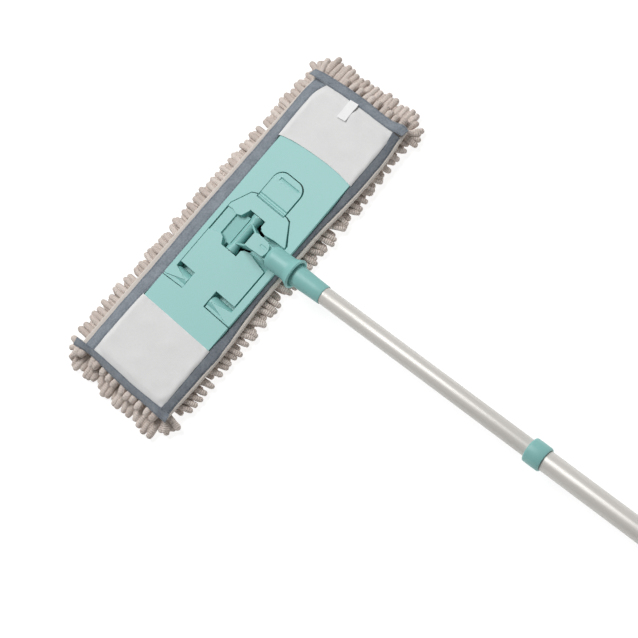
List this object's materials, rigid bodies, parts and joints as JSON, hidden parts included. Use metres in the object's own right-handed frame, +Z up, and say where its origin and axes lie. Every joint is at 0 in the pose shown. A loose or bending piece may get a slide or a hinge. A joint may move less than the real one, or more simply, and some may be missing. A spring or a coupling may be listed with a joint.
{
  "type": "flat mop",
  "caption": "Folding flat mop with a foot release, a swivel joint, a telescopic steel pole and a chenille pocket pad, lying flat with its pole on the floor.",
  "frame": {"origin": "on the floor under the middle of the plate, in the lowest face of the pad's pile", "axes": "+X along the plate towards the foot release tab, +Y across the plate away from the pole, +Z up, off the floor"},
  "size_m": [0.432, 1.167, 0.0627],
  "materials": {
    "teal_plastic": "satin",
    "pole_steel": "polished",
    "pin_steel": "plain",
    "dark_plastic": "matte",
    "chenille": "matte",
    "pocket_cloth": "matte",
    "grey_tape": "matte",
    "beige_cloth": "matte"
  },
  "bodies": {
    "window_frame": {"window_plate": "teal_plastic", "hinge_pin_far": "pin_steel", "hinge_pin_near": "pin_steel", "pile_main": "chenille", "backing_main": "beige_cloth", "tape_far_main": "grey_tape", "tape_near_main": "grey_tape", "tape_end_main": "grey_tape", "pocket_main": "pocket_cloth", "label": "pocket_cloth"},
    "tongue_frame": {"tongue_plate": "teal_plastic", "tilt_axle": "pin_steel", "pile_tail": "chenille", "backing_tail": "beige_cloth", "tape_far_tail": "grey_tape", "tape_near_tail": "grey_tape", "tape_end_tail": "grey_tape", "pocket_tail": "pocket_cloth"},
    "foot_release": {"release_tab": "teal_plastic"},
    "swivel": {"yoke": "teal_plastic", "swing_pin": "pin_steel"},
    "lower_pole": {"socket": "teal_plastic", "ferrule": "teal_plastic", "inner_tube": "pole_steel", "lock_spindle": "dark_plastic"},
    "lock": {"lock_ring": "dark_plastic"},
    "upper_pole": {"collar": "teal_plastic", "outer_tube": "pole_steel", "end_cap": "teal_plastic"}
  },
  "joints": [
    {"name": "frame_fold", "type": "hinge", "parent": "window_frame", "child": "tongue_frame", "pos_m": [-0.0747, 0, 0.0205], "axis": [0, -1, 0], "range_deg": [0, 58]},
    {"name": "tab_press", "type": "hinge", "parent": "tongue_frame", "child": "foot_release", "pos_m": [0.0414, 0, 0.0268], "axis": [0, 1, 0], "range_deg": [0, 7], "stiffness_Nm_per_rad": 1, "springref_deg": -5.73},
    {"name": "joint_tilt", "type": "hinge", "parent": "tongue_frame", "child": "swivel", "pos_m": [0, 0.0065, 0.0229], "axis": [-1, 0, 0], "range_deg": [0, 100]},
    {"name": "joint_swing", "type": "hinge", "parent": "swivel", "child": "lower_pole", "pos_m": [0, -0.03, 0.0475], "axis": [0, -0.0343, 0.9994], "range_deg": [-80, 75]},
    {"name": "twist_lock", "type": "hinge", "parent": "lower_pole", "child": "lock", "pos_m": [0.03623, -0.69863, 0.02456], "axis": [0.0541, -0.9979, -0.0342], "range_deg": [-90, 0]},
    {"name": "telescope", "type": "slide", "parent": "lock", "child": "upper_pole", "axis": [0.0541, -0.9979, -0.0342], "range_m": [-0.24, 0.2]}
  ]
}
